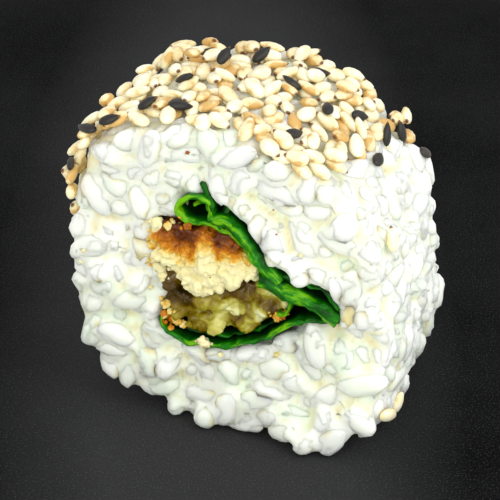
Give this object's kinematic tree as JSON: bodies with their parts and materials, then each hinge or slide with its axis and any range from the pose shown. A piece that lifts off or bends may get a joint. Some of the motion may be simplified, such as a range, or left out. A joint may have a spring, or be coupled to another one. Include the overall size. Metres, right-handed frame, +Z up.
{
  "type": "uramaki roll on a slate board",
  "caption": "Thick slice of inside-out sushi roll, rice outside with sesame over the top, leaf-wrapped fried filling and mash, on a small slate board.",
  "frame": {"origin": "on the floor under the middle of the board's box", "axes": "+Z up, +Y along the board's length away from the roll's end, +X to the right across the board"},
  "size_m": [0.094, 0.148, 0.0449],
  "materials": {
    "slate": "split dark slate, matt, fine pale specks",
    "cooked_rice": "moist cooked short-grain rice with toasted and black sesame seeds",
    "green_leaf": "moist thin green leaf, paler at its cut edge",
    "fried_crumb": "crumbly fried coating, brown above and cream below",
    "soft_mash": "moist olive and brown mash with pale lumps"
  },
  "bodies": {
    "root": {"board": "slate", "rice": "cooked_rice", "leaf": "green_leaf", "fried_piece": "fried_crumb", "mash": "soft_mash"}
  },
  "joints": []
}
